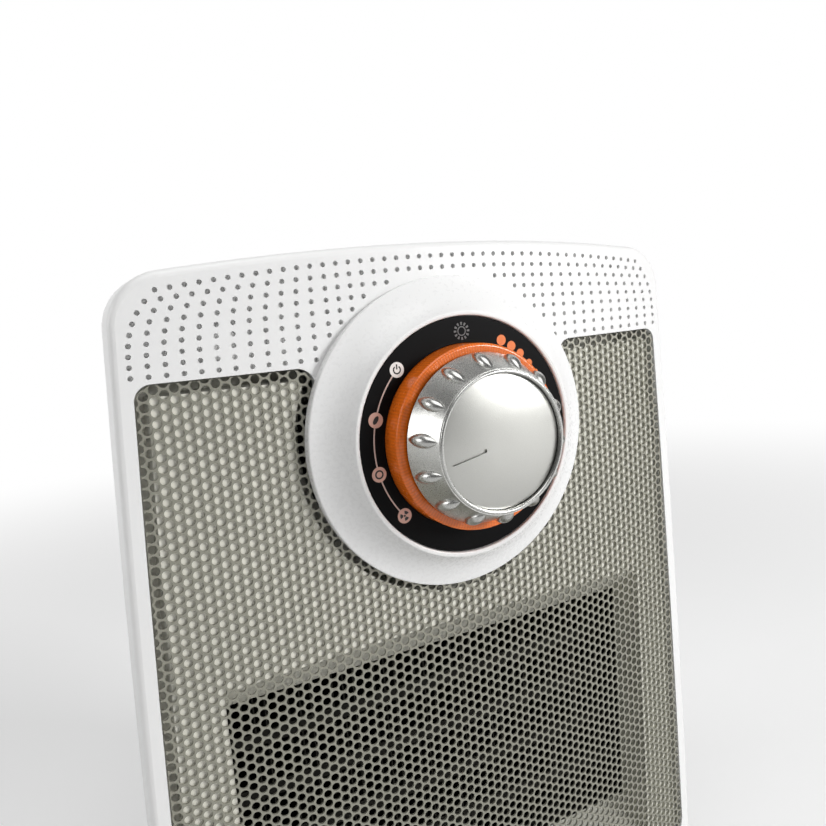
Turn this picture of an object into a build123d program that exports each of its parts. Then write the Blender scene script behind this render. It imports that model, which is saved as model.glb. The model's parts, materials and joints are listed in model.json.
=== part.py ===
"""Compact ceramic fan heater with one rotary control, all sizes in millimetres.

+Z is up, the front faces -Y and the origin is on the floor, under the middle of the whole object.
Depths are counted backwards from the front panel's face at its middle, where it stands furthest forward.
"""

import os
from math import atan2, cos, pi, radians, sin, sqrt

from build123d import *

os.makedirs("parts", exist_ok=True)

# Front outline of the body
crown_height = 272.0
shoulder_height = 267.0
waist_height = 159.0
body_bottom = 12.0
top_half_width = 92.6
waist_half_width = 97.9
low_half_width = 101.5
top_corner_radius = 15.0
bottom_corner_radius = 18.0
face_radius = 550.0

# Front panel
panel_wall = 2.5
panel_rim_depth = 24.0
panel_edge_round = 2.2
opening_margin = 5.0
opening_bottom = 34.0
opening_top_above_axis = 24.3
opening_outer_corner = 4.5
opening_inner_corner = 5.0
opening_low_corner = 9.0
dial_seat_radius = 46.0

# Dimples above the grille
dot_radius = 0.7
dot_depth = 1.8
dot_rows = 9
dot_columns = 45
dot_top_half_span = 81.0
dot_top_below_crown = 4.0
dot_top_row_drop = 4.8
dot_bottom_above_opening = 1.9
dot_flare = 8.5
dot_flare_columns = 12
dot_bezel_gap = 1.5

# Mesh grille
mesh_sheet = 0.6
mesh_recess = 0.3
mesh_gap = 0.4
mesh_flange = 2.2

# Dial
axis_height = 215.0
bezel_radius = 47.1
bezel_rim_front = 1.2
bezel_rim_round = 0.6
bezel_lip_front = 9.0
bezel_lip_width = 1.3
bezel_lip_round = 0.5
bezel_bulge = 1.3
bezel_wall = 2.2
bezel_seat_radius = 33.0
dial_radius = 34.7
dial_front = 8.2
dial_thickness = 2.0
dial_clearance = 0.3
light_ring_radius = 27.0
light_ring_bore = 23.5
light_ring_front = 15.5
light_ring_round = 0.9
light_ring_clearance = 0.2
seat_depth = 5.0

# Knob
knob_back = 16.6
knob_front = 27.25
knob_back_radius = 24.5
knob_edge = 26.65
knob_edge_radius = 20.25
knob_ledge = 0.3
knob_rim_inner = 18.9
knob_wall = 2.2
knob_floor = 24.05
knob_hub_radius = 6.0
knob_hub_back = 9.5
grip_count = 14
grip_height = 2.0
grip_sink = 0.15
grip_margin = 0.15
grip_front_margin = 0.4
grip_phase = -82.0
cap_gap = 0.25
cap_edge_front = 25.85
cap_dome = 1.1
cap_flat = 2.0
pointer_angle = -103.0
pointer_inner = 5.8
pointer_outer = 16.8
pointer_width = 1.1
pointer_depth = 0.6

# Control behind the dial
shaft_radius = 3.0
shaft_flat = 0.8
shaft_reach = 16.0
shaft_clearance = 0.05
shaft_end_gap = 0.3
bush_radius = 4.5
bush_front = 6.0
bush_clearance = 0.1
nut_thickness = 2.5
nut_radius = 7.0
switch_width = 34.0
switch_height = 30.0
switch_depth = 16.0
switch_corner = 2.0
thermostat_radius = 14.0
thermostat_depth = 9.0
thermostat_round = 1.0
lamp_radius = 2.4
lamp_length = 11.0
lamp_front = 0.3
lamp_round = 1.5

# Baffle behind the mesh
baffle_depth = 1.2
baffle_sheet = 1.6
baffle_inset = 3.5
baffle_back = 20.0
baffle_flange = 2.2
baffle_boss_radius = 4.0
baffle_boss_x = 50.0
baffle_boss_above_opening = 7.5
baffle_boss_below_opening = 9.0
window_half_width = 76.2
window_top = 140.6
window_bottom = 54.6
window_slope = 16.0

# Rear housing
body_depth = 138.0
housing_wall = 2.5
rear_shrink = 14.0
rear_drop = 8.0
rear_top_radius = 20.0
rear_bottom_radius = 18.0
rear_round = 7.0
rear_round_steps = 4
lip_length = 4.0
lip_wall = 1.4
lip_gap = 0.2
lip_root = 8.0
post_radius = 5.0
post_x = 66.0
post_top = 247.0
post_bottom = 26.0
screw_radius = 1.6
screw_head_radius = 3.2
screw_head = 2.0
screw_bite = 9.0
screw_seat = 38.0
head_clearance = 0.4
screw_tip = 0.6

# Rear grille and filter
intake_half_width = 58.0
intake_bottom = 56.0
intake_top = 200.0
intake_corner = 8.0
grille_flange = 5.0
grille_plate = 2.0
slat_pitch = 7.0
slat_height = 2.6
rib_width = 2.4
rib_count = 4
grille_clearance = 0.3
grille_border = 4.0
filter_depth = 3.0
filter_margin = 6.0
filter_cloth = 0.6
filter_rail = 7.0

# Heating element
heater_frame_wall = 5.0
heater_depth = 24.0
frame_corner = 3.0
heater_ear = 5.0
heater_ear_thickness = 3.0
heater_ear_x = 50.0
heater_ear_rise = 11.0
fin_rows = 5
fin_pitch = 3.7
fin_wall = 0.5
fin_depth = 15.0
bar_height = 3.4
terminal_width = 6.3
terminal_length = 10.0
terminal_thickness = 0.8
terminal_heights = (-30.0, 0.0, 30.0)
cutout_radius = 7.0
cutout_height = 6.0
cutout_x = -30.0
cutout_round = 1.0

# Fan and motor
duct_wall = 2.0
duct_flange = 2.0
duct_corner = 1.0
duct_radius = 58.0
duct_neck_share = 0.39
fan_radius = 55.0
fan_hub_radius = 17.0
fan_hub_depth = 18.0
fan_hub_wall = 2.0
fan_back_gap = 4.0
fan_boss_radius = 5.0
blade_root = 15.0
blade_count = 7
blade_thickness = 1.8
blade_chord_root = 19.0
blade_chord_tip = 24.0
blade_pitch_root = 42.0
blade_pitch_tip = 24.0
mount_thickness = 3.0
mount_arm = 9.0
mount_hub_radius = 27.0
mount_hub_bore = 7.0
mount_ring_inner = 56.0
mount_ring_outer = 62.0
core_width = 60.0
core_top = 22.0
yoke_height = 12.0
coil_slot = 8.0
coil_slot_below_bore = 6.0
core_depth = 16.0
motor_bore = 14.4
rotor_radius = 14.0
coil_width = 32.0
coil_overhang = 7.0
coil_side_gap = 1.0
coil_round = 4.0
end_plate = 3.0
end_plate_width = 22.0
end_gap = 5.0
end_plate_leg = 3.0
bracket_corner = 2.0
motor_shaft_radius = 2.5
motor_shaft_clearance = 0.04
motor_shaft_rear = 1.5
clip_radius = 4.5
clip_thickness = 1.5
motor_screw_x = 22.0
bearing_radius = 6.0
bearing_length = 5.5
motor_shaft_nose = 3.0
motor_room = 4.0

# Base, feet and tip-over switch
base_bottom = 2.0
base_corner = 26.0
base_wall = 2.5
foot_radius = 8.0
foot_height = 3.5
foot_front_x = 76.0
foot_rear_x = 68.0
foot_front_depth = 34.0
foot_rear_inset = 20.0
plunger_radius = 4.0
plunger_round = 1.5
plunger_clearance = 0.1
plunger_travel = 4.0
plunger_collar = 6.0
plunger_collar_height = 2.0
plunger_top = 27.0
plunger_collar_gap = 0.5
plunger_depth = 60.0
tip_switch_width = 24.0
tip_switch_length = 28.0
tip_switch_height = 18.0
tip_switch_wall = 2.0
tip_switch_corner = 2.0
base_screw_x = 48.0
base_screw_front_depth = 40.0
base_screw_rear_inset = 28.0
base_screw_seat = 3.0
base_screw_length = 16.0
floor_boss_height = 9.0
base_boss_radius = 5.0
base_front_depth = 9.0
base_rear_inset = 6.0
base_front_half_width = 94.0
base_rear_half_width = 82.0
plunger_guide_wall = 3.0
foot_recess = 1.5
foot_clearance = 0.1
foot_round = 1.0

# Mains connections
gland_radius = 8.0
gland_flange = 11.0
gland_bore = 3.6
gland_height = 32.0
gland_length = 10.0
gland_rim = 2.0
gland_round = 0.8
gland_x = -38.0
terminal_block_width = 34.0
terminal_block_length = 16.0
terminal_block_height = 14.0
terminal_block_corner = 1.0
terminal_hole_radius = 2.0
terminal_hole_pitch = 10.0
terminal_hole_depth = 8.0
terminal_block_x = 40.0
terminal_block_back_gap = 9.5

# How far a cut or a tool body reaches past the body
cut_reach = 20.0

# Places worked out from the sizes
cap_front = cap_edge_front + cap_dome
foremost = max(cap_front, knob_front)
total_depth = foremost + body_depth + grille_plate
front_y = foremost - total_depth / 2
opening_top = axis_height + opening_top_above_axis
bezel_lip_radius = dial_radius + dial_clearance + bezel_lip_width
bezel_slant = atan2(bezel_lip_front - bezel_rim_front, bezel_radius - bezel_lip_radius)
bezel_slant_wall = bezel_wall / cos(bezel_slant)
dial_back = dial_front - dial_thickness
knob_under = knob_floor - knob_wall
knob_taper = (knob_back_radius - knob_edge_radius) / (knob_edge - knob_back)
knob_under_radius = knob_back_radius - knob_taper * (knob_under - knob_back) - knob_wall
plunger_collar_bottom = body_bottom + housing_wall + plunger_travel + plunger_collar_gap
cap_radius = knob_rim_inner - cap_gap
switch_front = panel_wall
switch_back = switch_front + switch_depth
face_axis_y = front_y + face_radius
window_middle = (window_top + window_bottom) / 2
heater_back = baffle_back + heater_depth
lamp_ring_radius = (light_ring_radius + light_ring_bore) / 2
floor_top = body_bottom + housing_wall
inner_back = body_depth - housing_wall
motor_shaft_back = inner_back - filter_depth - motor_room
core_back = motor_shaft_back - motor_shaft_rear - end_plate - end_gap
core_front = core_back - core_depth
mount_back = core_front - end_gap - end_plate
duct_back = mount_back - mount_thickness
neck_front = heater_back + duct_flange
neck_back = neck_front + duct_neck_share * (duct_back - neck_front)
fan_back = duct_back - fan_back_gap
fan_start = fan_back - fan_hub_depth
motor_shaft_front = fan_start - motor_shaft_nose
base_rear_depth = body_depth - base_rear_inset
foot_rear_depth = base_rear_depth - foot_rear_inset
base_screw_depths = (base_screw_front_depth, base_rear_depth - base_screw_rear_inset)
terminal_block_depth = inner_back - terminal_block_back_gap - terminal_block_length / 2
frame_half_width = window_half_width + heater_frame_wall
frame_height = window_top - window_bottom + 2 * heater_frame_wall
bar_count = fin_rows - 1
fin_height = (window_top - window_bottom - bar_count * bar_height) / fin_rows
fin_front = baffle_back + (heater_depth - fin_depth) / 2
slot_top = window_middle - motor_bore - coil_slot_below_bore
yoke_top = slot_top - coil_slot
core_bottom = yoke_top - yoke_height
intake_middle = (intake_top + intake_bottom) / 2
intake_height = intake_top - intake_bottom
tall = crown_height + cut_reach
deep = body_depth + 2 * cut_reach
dial_axis = Axis((0, front_y, axis_height), (0, 1, 0))
dial_plane = Plane(origin=(0, front_y, axis_height), x_dir=(0, 1, 0), z_dir=(1, 0, 0))
exported = []


def front_plane(depth):
    """Plane at a depth behind the face, seen from the front: sketch x is X and sketch y is Z."""
    return Plane.XZ.offset(-(front_y + depth))


def save(piece, name):
    piece.part.label = name
    export_step(piece.part, f"parts/{name}.step")
    exported.append(name)


def draw_outline(
    shrink=0.0,
    drop=0.0,
    top_radius=top_corner_radius,
    bottom_radius=bottom_corner_radius,
    lift=0.0,
):
    """Closed body outline in the current sketch: arched top, bowed sides and a level bottom."""
    with BuildLine() as edge:
        low_left = (-(low_half_width - shrink), body_bottom + lift)
        low_right = (low_half_width - shrink, body_bottom + lift)
        waist_right = (waist_half_width - shrink, waist_height)
        top_right = (top_half_width - shrink, shoulder_height - drop)
        top_left = (-(top_half_width - shrink), shoulder_height - drop)
        waist_left = (-(waist_half_width - shrink), waist_height)
        Line(low_left, low_right)
        ThreePointArc(low_right, waist_right, top_right)
        ThreePointArc(top_right, (0, crown_height - drop), top_left)
        ThreePointArc(top_left, waist_left, low_left)
    make_face(edge.edges())
    corners = vertices().sort_by(Axis.Y)
    fillet(corners[:2], bottom_radius)
    corners = vertices().group_by(Axis.Y)[-1]
    fillet(corners, top_radius)


def draw_inner_outline(inset):
    """Body outline at the panel, smaller by inset all round."""
    draw_outline(inset, inset, top_corner_radius - inset, bottom_corner_radius - inset, inset)


def draw_opening(grow=0.0):
    """Grille opening in the current sketch, larger by grow all round, or smaller where grow is negative."""
    draw_outline()
    offset(amount=-opening_margin, mode=Mode.REPLACE)
    with Locations((0, (opening_bottom + opening_top) / 2)):
        Rectangle(3 * low_half_width, opening_top - opening_bottom, mode=Mode.INTERSECT)
    with Locations((0, axis_height)):
        Circle(dial_seat_radius, mode=Mode.SUBTRACT)
    fillet(vertices().group_by(Axis.Y)[0], opening_low_corner)
    top_row = vertices().group_by(Axis.Y)[-1].sort_by(lambda v: abs(v.X))
    fillet(top_row[:2], opening_inner_corner)
    top_row = vertices().group_by(Axis.Y)[-1].sort_by(lambda v: abs(v.X))
    fillet(top_row[-2:], opening_outer_corner)
    if grow:
        offset(amount=grow, mode=Mode.REPLACE)


def face_cylinder(depth, mode):
    """Everything behind the curved face at a depth, over the whole height."""
    with BuildSketch(Plane.XY) as plan:
        with Locations((0, face_axis_y)):
            Circle(face_radius - depth)
    extrude(plan.sketch, amount=tall, mode=mode)


def baffle_boss_places():
    high = opening_top + baffle_boss_above_opening
    low = opening_bottom - baffle_boss_below_opening
    return [(x, z) for x in (-baffle_boss_x, baffle_boss_x) for z in (low, high)]


def post_places():
    return [(x, z) for x in (-post_x, post_x) for z in (post_bottom, post_top)]


def heater_ear_places():
    high = window_top + heater_ear_rise
    low = window_bottom - heater_ear_rise
    return [(x, z) for x in (-heater_ear_x, heater_ear_x) for z in (low, high)]


def draw_tabs():
    """Screw tabs that join the baffle's flange to the panel's bosses."""
    for x, z in baffle_boss_places():
        edge_z = opening_top if z > opening_top else opening_bottom
        with Locations((x, z)):
            Circle(baffle_boss_radius + baffle_sheet)
        with Locations((x, (z + edge_z) / 2)):
            Rectangle(2 * (baffle_boss_radius + baffle_sheet), abs(z - edge_z))


def dot_places():
    """Dimples: rows between the crown and the grille, columns that lean outwards near the corners."""
    places = []
    bottom_z = opening_top + dot_bottom_above_opening
    pitch = 2 * dot_top_half_span / (dot_columns - 1)
    for row in range(dot_rows):
        down = row / (dot_rows - 1)
        flare = dot_flare * (1 - (1 - down) ** 3)
        for column in range(dot_columns):
            x = -dot_top_half_span + column * pitch
            from_end = min(column, dot_columns - 1 - column)
            lean = flare * max(0.0, 1 - from_end / dot_flare_columns)
            drop = dot_top_row_drop * (x / dot_top_half_span) ** 2
            top_z = crown_height - dot_top_below_crown - drop
            x += lean if x > 0 else -lean
            z = top_z + (bottom_z - top_z) * down
            if sqrt(x**2 + (z - axis_height) ** 2) > bezel_radius + dot_bezel_gap:
                places.append((x, z))
    return places


# Tool bodies that several pieces are cut with
with BuildPart() as panel_core:
    with BuildSketch(front_plane(panel_rim_depth + 1)):
        draw_inner_outline(panel_wall)
    extrude(amount=deep)
    face_cylinder(panel_wall, Mode.INTERSECT)

# Front panel: one white moulding with the dimpled top, the grille opening and the dial seat
with BuildPart() as panel_posts:
    with BuildSketch(front_plane(baffle_back - baffle_sheet)):
        with Locations(*baffle_boss_places()):
            Circle(baffle_boss_radius)
    extrude(amount=deep)
    with BuildSketch(front_plane(panel_rim_depth)):
        with Locations(*post_places()):
            Circle(post_radius)
    extrude(amount=deep)
    with BuildSketch(front_plane(baffle_back - baffle_sheet - screw_bite)):
        with Locations(*baffle_boss_places()):
            Circle(screw_radius)
    extrude(amount=-screw_bite, mode=Mode.SUBTRACT)
    with BuildSketch(front_plane(panel_rim_depth - screw_bite)):
        with Locations(*post_places()):
            Circle(screw_radius)
    extrude(amount=-screw_bite, mode=Mode.SUBTRACT)
    face_cylinder(panel_wall / 2, Mode.INTERSECT)

with BuildPart() as dot_pins:
    with BuildSketch(front_plane(panel_rim_depth)):
        with Locations(*dot_places()):
            Circle(dot_radius)
    extrude(amount=deep)
    face_cylinder(dot_depth, Mode.SUBTRACT)

with BuildPart() as front_panel:
    with BuildSketch(front_plane(panel_rim_depth)):
        draw_outline()
    extrude(amount=deep)
    face_cylinder(0, Mode.INTERSECT)
    front_face = faces().sort_by(Axis.Y)[0]
    fillet(front_face.edges(), panel_edge_round)
    add(panel_core.part, mode=Mode.SUBTRACT)
    with BuildSketch(front_plane(panel_rim_depth)):
        draw_opening()
        with Locations((0, axis_height)):
            Circle(bush_radius + bush_clearance)
        with Locations((0, axis_height - lamp_ring_radius)):
            Circle(lamp_radius)
    extrude(amount=deep, mode=Mode.SUBTRACT)
    add(dot_pins.part, mode=Mode.SUBTRACT)
    add(panel_posts.part)
save(front_panel, "front_panel")

# Mesh grille: a formed sheet, with its edge turned back to a flange behind the panel
with BuildPart() as mesh_core:
    with BuildSketch(front_plane(panel_rim_depth + 1)):
        draw_opening(-mesh_gap - mesh_sheet)
    extrude(amount=deep)
    face_cylinder(mesh_recess + mesh_sheet, Mode.INTERSECT)

with BuildPart() as mesh_edge:
    with BuildSketch(front_plane(panel_rim_depth)):
        draw_opening(mesh_flange)
    extrude(amount=deep)
    face_cylinder(panel_wall, Mode.INTERSECT)

with BuildPart() as mesh_grille:
    with BuildSketch(front_plane(panel_rim_depth)):
        draw_opening(-mesh_gap)
    extrude(amount=deep)
    face_cylinder(mesh_recess, Mode.INTERSECT)
    add(mesh_edge.part)
    add(mesh_core.part, mode=Mode.SUBTRACT)
    face_cylinder(panel_wall + mesh_sheet, Mode.SUBTRACT)
save(mesh_grille, "mesh_grille")

# Baffle: a pale tray behind the mesh with a sloping tunnel to the heating element
with BuildPart() as baffle_core:
    with BuildSketch(front_plane(baffle_back + 1)):
        draw_opening(-baffle_inset - baffle_sheet)
    extrude(amount=deep)
    face_cylinder(baffle_depth + baffle_sheet, Mode.INTERSECT)


def draw_window(grow, slope):
    with Locations((0, window_middle)):
        Rectangle(2 * (window_half_width + grow), window_top - window_bottom + 2 * (grow + slope))


with BuildPart() as tunnel:
    with BuildSketch(front_plane(baffle_back)):
        draw_window(baffle_sheet, 0)
    with BuildSketch(front_plane(0)):
        draw_window(baffle_sheet, window_slope)
    loft()

with BuildPart() as tunnel_void:
    with BuildSketch(front_plane(baffle_back)):
        draw_window(0, 0)
    with BuildSketch(front_plane(0)):
        draw_window(0, window_slope)
    loft()

with BuildPart() as baffle:
    with BuildSketch(front_plane(baffle_back)):
        draw_opening(-baffle_inset)
    extrude(amount=deep)
    add(baffle_core.part, mode=Mode.SUBTRACT)
    add(tunnel.part)
    with BuildSketch(front_plane(baffle_back)):
        with Locations(*heater_ear_places()):
            Circle(baffle_boss_radius)
    extrude(amount=deep)
    face_cylinder(baffle_depth, Mode.INTERSECT)
    with BuildSketch(front_plane(baffle_back)):
        draw_opening(baffle_flange)
        draw_tabs()
        with BuildSketch(mode=Mode.PRIVATE) as inside:
            draw_opening(-baffle_inset - baffle_sheet / 2)
        add(inside.sketch, mode=Mode.SUBTRACT)
    extrude(amount=baffle_sheet)
    add(tunnel_void.part, mode=Mode.SUBTRACT)
    with BuildSketch(front_plane(baffle_back)):
        with Locations(*heater_ear_places(), *baffle_boss_places()):
            Circle(screw_radius)
    extrude(amount=screw_bite, mode=Mode.SUBTRACT)
save(baffle, "baffle")


def draw_shaft_end():
    """Round section with one flat, as on the control shaft's end."""
    Circle(shaft_radius)
    with Locations((0, shaft_radius)):
        Rectangle(2 * shaft_radius, 2 * shaft_flat, mode=Mode.SUBTRACT)


def clock_place(radius, angle):
    """Place in a front view at a radius from the dial axis, the angle clockwise from the top."""
    return (radius * sin(radians(angle)), axis_height + radius * cos(radians(angle)))


# Bezel ring: a hollow moulding that rises from the panel to a lip round the dial
with BuildPart() as bezel_ring:
    with BuildSketch(dial_plane):
        with BuildLine() as edge:
            rim = (-bezel_rim_front, bezel_radius)
            lip = (-bezel_lip_front, bezel_lip_radius)
            lip_inner = (-bezel_lip_front, bezel_lip_radius - bezel_lip_width)
            Polyline(
                lip,
                lip_inner,
                (-dial_back, bezel_lip_radius - bezel_lip_width),
                (-dial_back, bezel_seat_radius),
                (seat_depth, bezel_seat_radius),
                (seat_depth, bezel_radius),
                rim,
            )
            SagittaArc(rim, lip, bezel_bulge)
        make_face(edge.edges())
        fillet(vertices().sort_by_distance((*rim, 0))[0], bezel_rim_round)
        fillet(vertices().sort_by_distance((*lip_inner, 0))[0], bezel_lip_round)
        fillet(vertices().sort_by_distance((*lip, 0))[0], bezel_lip_round)
    revolve(axis=dial_axis)
    with BuildSketch(dial_plane):
        hollow_inner = bezel_seat_radius + bezel_wall
        hollow_outer = bezel_radius - bezel_wall
        hollow_rim = bezel_rim_front + bezel_wall * sin(bezel_slant) / cos(bezel_slant) - bezel_slant_wall
        with BuildLine() as edge:
            Polyline(
                (seat_depth, hollow_inner),
                (bezel_wall - dial_back, hollow_inner),
                (bezel_slant_wall - bezel_lip_front, bezel_lip_radius),
                (-hollow_rim, hollow_outer),
                (seat_depth, hollow_outer),
                close=True,
            )
        make_face(edge.edges())
    revolve(axis=dial_axis, mode=Mode.SUBTRACT)
    face_cylinder(0, Mode.SUBTRACT)
save(bezel_ring, "bezel_ring")

# Dial disc and the ring that glows round the knob
with BuildPart() as dial_disc:
    with BuildSketch(front_plane(-dial_back)):
        with Locations((0, axis_height)):
            Circle(dial_radius)
            Circle(light_ring_radius + light_ring_clearance, mode=Mode.SUBTRACT)
    extrude(amount=dial_thickness)
save(dial_disc, "dial_disc")

with BuildPart() as light_ring:
    with BuildSketch(front_plane(seat_depth)):
        with Locations((0, axis_height)):
            Circle(light_ring_radius)
            Circle(light_ring_bore, mode=Mode.SUBTRACT)
    extrude(amount=seat_depth + light_ring_front)
    face_cylinder(0, Mode.SUBTRACT)
    fillet(faces().sort_by(Axis.Y)[0].edges(), light_ring_round)
save(light_ring, "light_ring")

# Knob: a tapered body with raised grips and a domed cap with a pointer groove
def grip_end(depth):
    """A grip's end in the dial plane, just under the tapered side at a depth."""
    return (-depth, knob_back_radius - knob_taper * (depth - knob_back) - grip_sink)


with BuildPart() as grip:
    grip_back = grip_end(knob_back + grip_margin)
    grip_front = grip_end(knob_edge - grip_front_margin)
    with BuildSketch(dial_plane):
        with BuildLine() as edge:
            SagittaArc(grip_back, grip_front, grip_height)
            Line(grip_back, grip_front)
        make_face(edge.edges())
    grip_start = dial_plane.from_local_coords((*grip_back, 0))
    grip_finish = dial_plane.from_local_coords((*grip_front, 0))
    revolve(axis=Axis(grip_start, grip_finish - grip_start))

with BuildPart() as knob_body:
    with BuildSketch(dial_plane):
        with BuildLine() as edge:
            ledge = (-knob_edge, knob_edge_radius - knob_ledge)
            rim = (-knob_edge, knob_rim_inner)
            bead_crest = (-knob_front, (ledge[1] + rim[1]) / 2)
            ThreePointArc(ledge, bead_crest, rim)
            Polyline(
                rim,
                (-knob_floor, knob_rim_inner),
                (-knob_floor, 0),
                (-knob_hub_back, 0),
                (-knob_hub_back, knob_hub_radius),
                (-knob_under, knob_hub_radius),
                (-knob_under, knob_under_radius),
                (-knob_back, knob_back_radius - knob_wall),
                (-knob_back, knob_back_radius),
                (-knob_edge, knob_edge_radius),
                ledge,
            )
        make_face(edge.edges())
    revolve(axis=dial_axis)
    for index in range(grip_count):
        add(grip.part.rotate(dial_axis, grip_phase + index * 360 / grip_count))
    with BuildSketch(front_plane(-knob_hub_back)):
        with Locations((0, axis_height)):
            draw_shaft_end()
    extrude(amount=knob_under - knob_hub_back, mode=Mode.SUBTRACT)
save(knob_body, "knob_body")

with BuildPart() as cap_blank:
    with BuildSketch(dial_plane):
        with BuildLine() as edge:
            dome_radius = ((cap_radius - cap_flat) ** 2 + cap_dome**2) / (2 * cap_dome)
            cap_crown = (-cap_front, cap_flat)
            cap_edge = (-cap_edge_front, cap_radius)
            Polyline(cap_crown, (-cap_front, 0), (-knob_floor, 0), (-knob_floor, cap_radius), cap_edge)
            RadiusArc(cap_edge, cap_crown, -dome_radius)
        make_face(edge.edges())
    revolve(axis=dial_axis)

with BuildPart() as pointer_groove:
    with BuildSketch(front_plane(-knob_floor)):
        pointer_middle = clock_place((pointer_inner + pointer_outer) / 2, pointer_angle)
        with Locations(Location(pointer_middle, 90 - pointer_angle)):
            SlotOverall(pointer_outer - pointer_inner, pointer_width)
    extrude(amount=deep)
    with Locations((0, pointer_depth, 0)):
        add(cap_blank.part, mode=Mode.SUBTRACT)

with BuildPart() as knob_cap:
    add(cap_blank.part)
    add(pointer_groove.part, mode=Mode.SUBTRACT)
save(knob_cap, "knob_cap")

with BuildPart() as control_shaft:
    with BuildSketch(front_plane(-knob_hub_back)):
        with Locations((0, axis_height)):
            draw_shaft_end()
    extrude(amount=knob_under - knob_hub_back)
    with BuildSketch(front_plane(shaft_reach)):
        with Locations((0, axis_height)):
            Circle(shaft_radius)
    extrude(amount=shaft_reach + knob_hub_back)
save(control_shaft, "control_shaft")

# Selector switch, its nut, the thermostat behind it and the indicator lamp
with BuildPart() as selector_switch:
    with BuildSketch(front_plane(switch_back)):
        with Locations((0, axis_height)):
            RectangleRounded(switch_width, switch_height, switch_corner)
    extrude(amount=deep)
    face_cylinder(panel_wall, Mode.INTERSECT)
    with BuildSketch(front_plane(switch_back)):
        with Locations((0, axis_height)):
            Circle(bush_radius)
    extrude(amount=switch_back + bush_front)
    with BuildSketch(front_plane(shaft_reach + shaft_end_gap)):
        with Locations((0, axis_height)):
            Circle(shaft_radius + shaft_clearance)
    extrude(amount=deep, mode=Mode.SUBTRACT)
save(selector_switch, "selector_switch")

with BuildPart() as switch_nut:
    with BuildSketch(front_plane(0)):
        with Locations((0, axis_height)):
            RegularPolygon(nut_radius, 6)
            Circle(bush_radius, mode=Mode.SUBTRACT)
    extrude(amount=nut_thickness)
save(switch_nut, "switch_nut")

with BuildPart() as thermostat:
    with BuildSketch(front_plane(switch_back + thermostat_depth)):
        with Locations((0, axis_height)):
            Circle(thermostat_radius)
    extrude(amount=thermostat_depth)
    fillet(faces().sort_by(Axis.Y)[-1].edges(), thermostat_round)
save(thermostat, "thermostat")

with BuildPart() as indicator_lamp:
    with BuildSketch(front_plane(lamp_front + lamp_length)):
        with Locations((0, axis_height - lamp_ring_radius)):
            Circle(lamp_radius)
    extrude(amount=lamp_length)
    fillet(faces().sort_by(Axis.Y)[0].edges(), lamp_round)
save(indicator_lamp, "indicator_lamp")


def add_screws(places, seat_depth_of_head, length):
    """Row of like screws along Y: round heads behind the seat and plain shanks towards the front."""
    with BuildSketch(front_plane(seat_depth_of_head + screw_head)) as heads:
        with Locations(*places):
            Circle(screw_head_radius)
    extrude(heads.sketch, amount=screw_head)
    with BuildSketch(front_plane(seat_depth_of_head)) as shanks:
        with Locations(*places):
            Circle(screw_radius)
    extrude(shanks.sketch, amount=length)


with BuildPart() as baffle_screws:
    add_screws(baffle_boss_places(), baffle_back, baffle_sheet + screw_bite - screw_tip)
save(baffle_screws, "baffle_screws")

# Heating element: frame, fin packs, ceramic bars, terminals and thermal cut-out
with BuildPart() as heater_frame:
    with BuildSketch(front_plane(heater_back)):
        with Locations((0, window_middle)):
            RectangleRounded(2 * frame_half_width, frame_height, frame_corner)
    extrude(amount=heater_depth)
    with BuildSketch(front_plane(baffle_back + heater_ear_thickness)):
        for x, z in heater_ear_places():
            frame_edge = window_middle + (frame_height / 2 if z > window_middle else -frame_height / 2)
            with Locations((x, z)):
                Circle(heater_ear)
            with Locations((x, (z + frame_edge) / 2)):
                Rectangle(2 * heater_ear, abs(z - frame_edge) + heater_frame_wall)
    extrude(amount=heater_ear_thickness)
    with BuildSketch(front_plane(heater_back)):
        with Locations((0, window_middle)):
            Rectangle(2 * window_half_width, window_top - window_bottom)
        with Locations(*heater_ear_places()):
            Circle(screw_radius)
    extrude(amount=heater_depth, mode=Mode.SUBTRACT)
save(heater_frame, "heater_frame")

with BuildPart() as heater_screws:
    heater_screw_length = heater_ear_thickness + screw_bite - screw_tip
    add_screws(heater_ear_places(), baffle_back + heater_ear_thickness, heater_screw_length)
save(heater_screws, "heater_screws")

cell_count = round(2 * window_half_width / fin_pitch)
cell_width = 2 * window_half_width / cell_count
row_heights = [window_bottom + fin_height / 2 + row * (fin_height + bar_height) for row in range(fin_rows)]
bar_heights = [(low + high) / 2 for low, high in zip(row_heights, row_heights[1:])]
with BuildPart() as heater_fins:
    with BuildSketch(front_plane(fin_front + fin_depth)):
        with Locations(*[(0, z) for z in row_heights]):
            Rectangle(2 * window_half_width, fin_height)
            with GridLocations(cell_width, 1, cell_count, 1):
                Rectangle(cell_width - fin_wall, fin_height - 2 * fin_wall, mode=Mode.SUBTRACT)
    extrude(amount=fin_depth)
save(heater_fins, "heater_fins")

with BuildPart() as ptc_bars:
    with BuildSketch(front_plane(fin_front + fin_depth)):
        with Locations(*[(0, z) for z in bar_heights]):
            Rectangle(2 * window_half_width, bar_height)
    extrude(amount=fin_depth)
save(ptc_bars, "ptc_bars")

with BuildPart() as heater_terminals:
    terminal_x = frame_half_width + terminal_length / 2
    with BuildSketch(front_plane((baffle_back + heater_back + terminal_width) / 2)):
        with Locations(*[(terminal_x, window_middle + z) for z in terminal_heights]):
            Rectangle(terminal_length, terminal_thickness)
    extrude(amount=terminal_width)
save(heater_terminals, "heater_terminals")

with BuildPart() as thermal_cutout:
    with Locations((cutout_x, front_y + (baffle_back + heater_back) / 2, window_top + heater_frame_wall)):
        Cylinder(cutout_radius, cutout_height, align=(Align.CENTER, Align.CENTER, Align.MIN))
    fillet(faces().sort_by(Axis.Z)[-1].edges(), cutout_round)
save(thermal_cutout, "thermal_cutout")

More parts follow.
